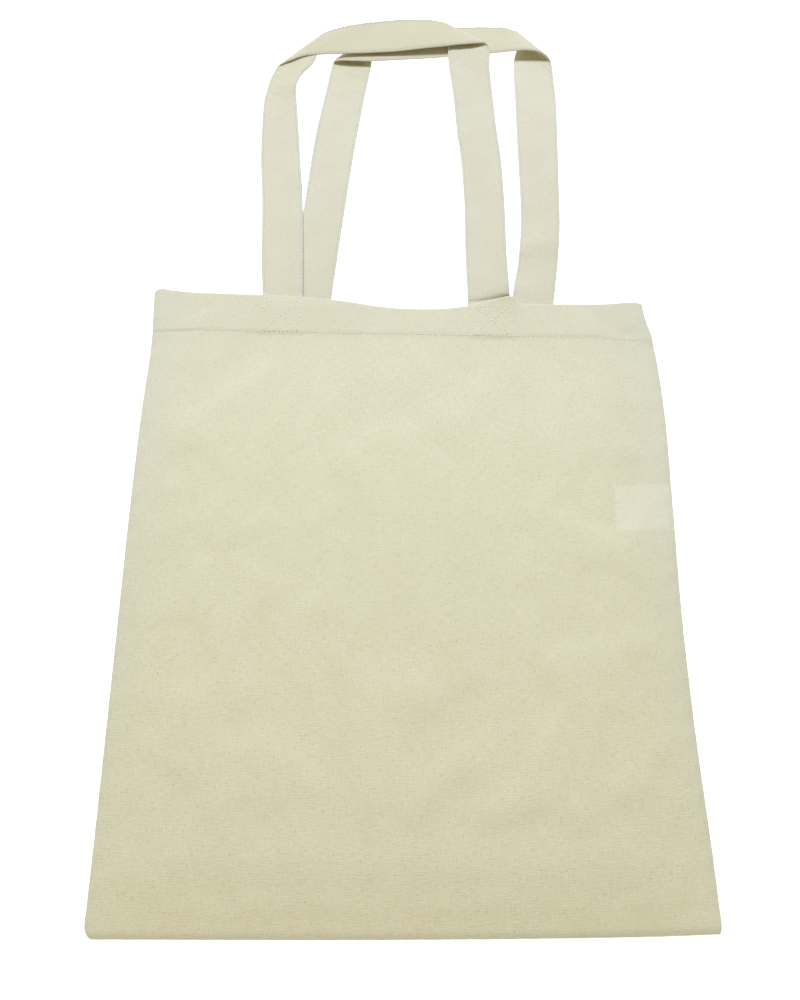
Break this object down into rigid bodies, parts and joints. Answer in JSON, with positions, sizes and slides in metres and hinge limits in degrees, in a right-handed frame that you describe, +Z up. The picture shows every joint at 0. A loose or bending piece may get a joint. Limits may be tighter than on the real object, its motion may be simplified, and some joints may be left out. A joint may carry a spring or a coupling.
{
  "type": "cotton tote bag",
  "caption": "Flat unbleached cotton tote bag with a hemmed open mouth and long folded strap handles, lying on its back panel.",
  "frame": {"origin": "middle of the back panel's underside, on the surface that the bag lies on", "axes": "+X across the bag to the right, +Y up the bag from the bottom seam to the handles, +Z up from the surface through the bag's thickness"},
  "size_m": [0.38, 0.6762, 0.0158],
  "materials": {
    "cotton_cloth": "unbleached plain-weave cotton, matte",
    "cotton_strap": "folded unbleached cotton strap, matte",
    "sewing_thread": "natural cotton sewing thread",
    "label_tape": "blank woven tape, slightly shiny"
  },
  "bodies": {
    "back": {"back_panel": "cotton_cloth", "back_left_strap_end": "cotton_strap", "back_right_strap_end": "cotton_strap", "left_seam_thread": "sewing_thread", "right_seam_thread": "sewing_thread", "bottom_seam_thread": "sewing_thread", "back_hem_thread": "sewing_thread", "back_left_box_thread": "sewing_thread", "back_right_box_thread": "sewing_thread", "care_label": "label_tape"},
    "front": {"front_panel": "cotton_cloth", "front_left_strap_end": "cotton_strap", "front_right_strap_end": "cotton_strap", "front_hem_thread": "sewing_thread", "front_left_box_thread": "sewing_thread", "front_right_box_thread": "sewing_thread"},
    "front_loop": {"front_handle": "cotton_strap", "front_handle_thread": "sewing_thread"},
    "back_loop": {"back_handle": "cotton_strap", "back_handle_thread": "sewing_thread"}
  },
  "joints": [
    {"name": "mouth_opening", "type": "hinge", "parent": "back", "child": "front", "pos_m": [0, -0.21, 0.0016], "axis": [1, 0, 0], "range_deg": [0, 6]},
    {"name": "front_handle_swing", "type": "hinge", "parent": "front", "child": "front_loop", "pos_m": [-0.091, 0.20626, 0.0085], "axis": [0.9994, -0.0335, 0], "range_deg": [0, 170]},
    {"name": "back_handle_swing", "type": "hinge", "parent": "back", "child": "back_loop", "pos_m": [-0.069, 0.20462, 0], "axis": [0.9999, -0.0165, 0], "range_deg": [-170, 0]}
  ]
}
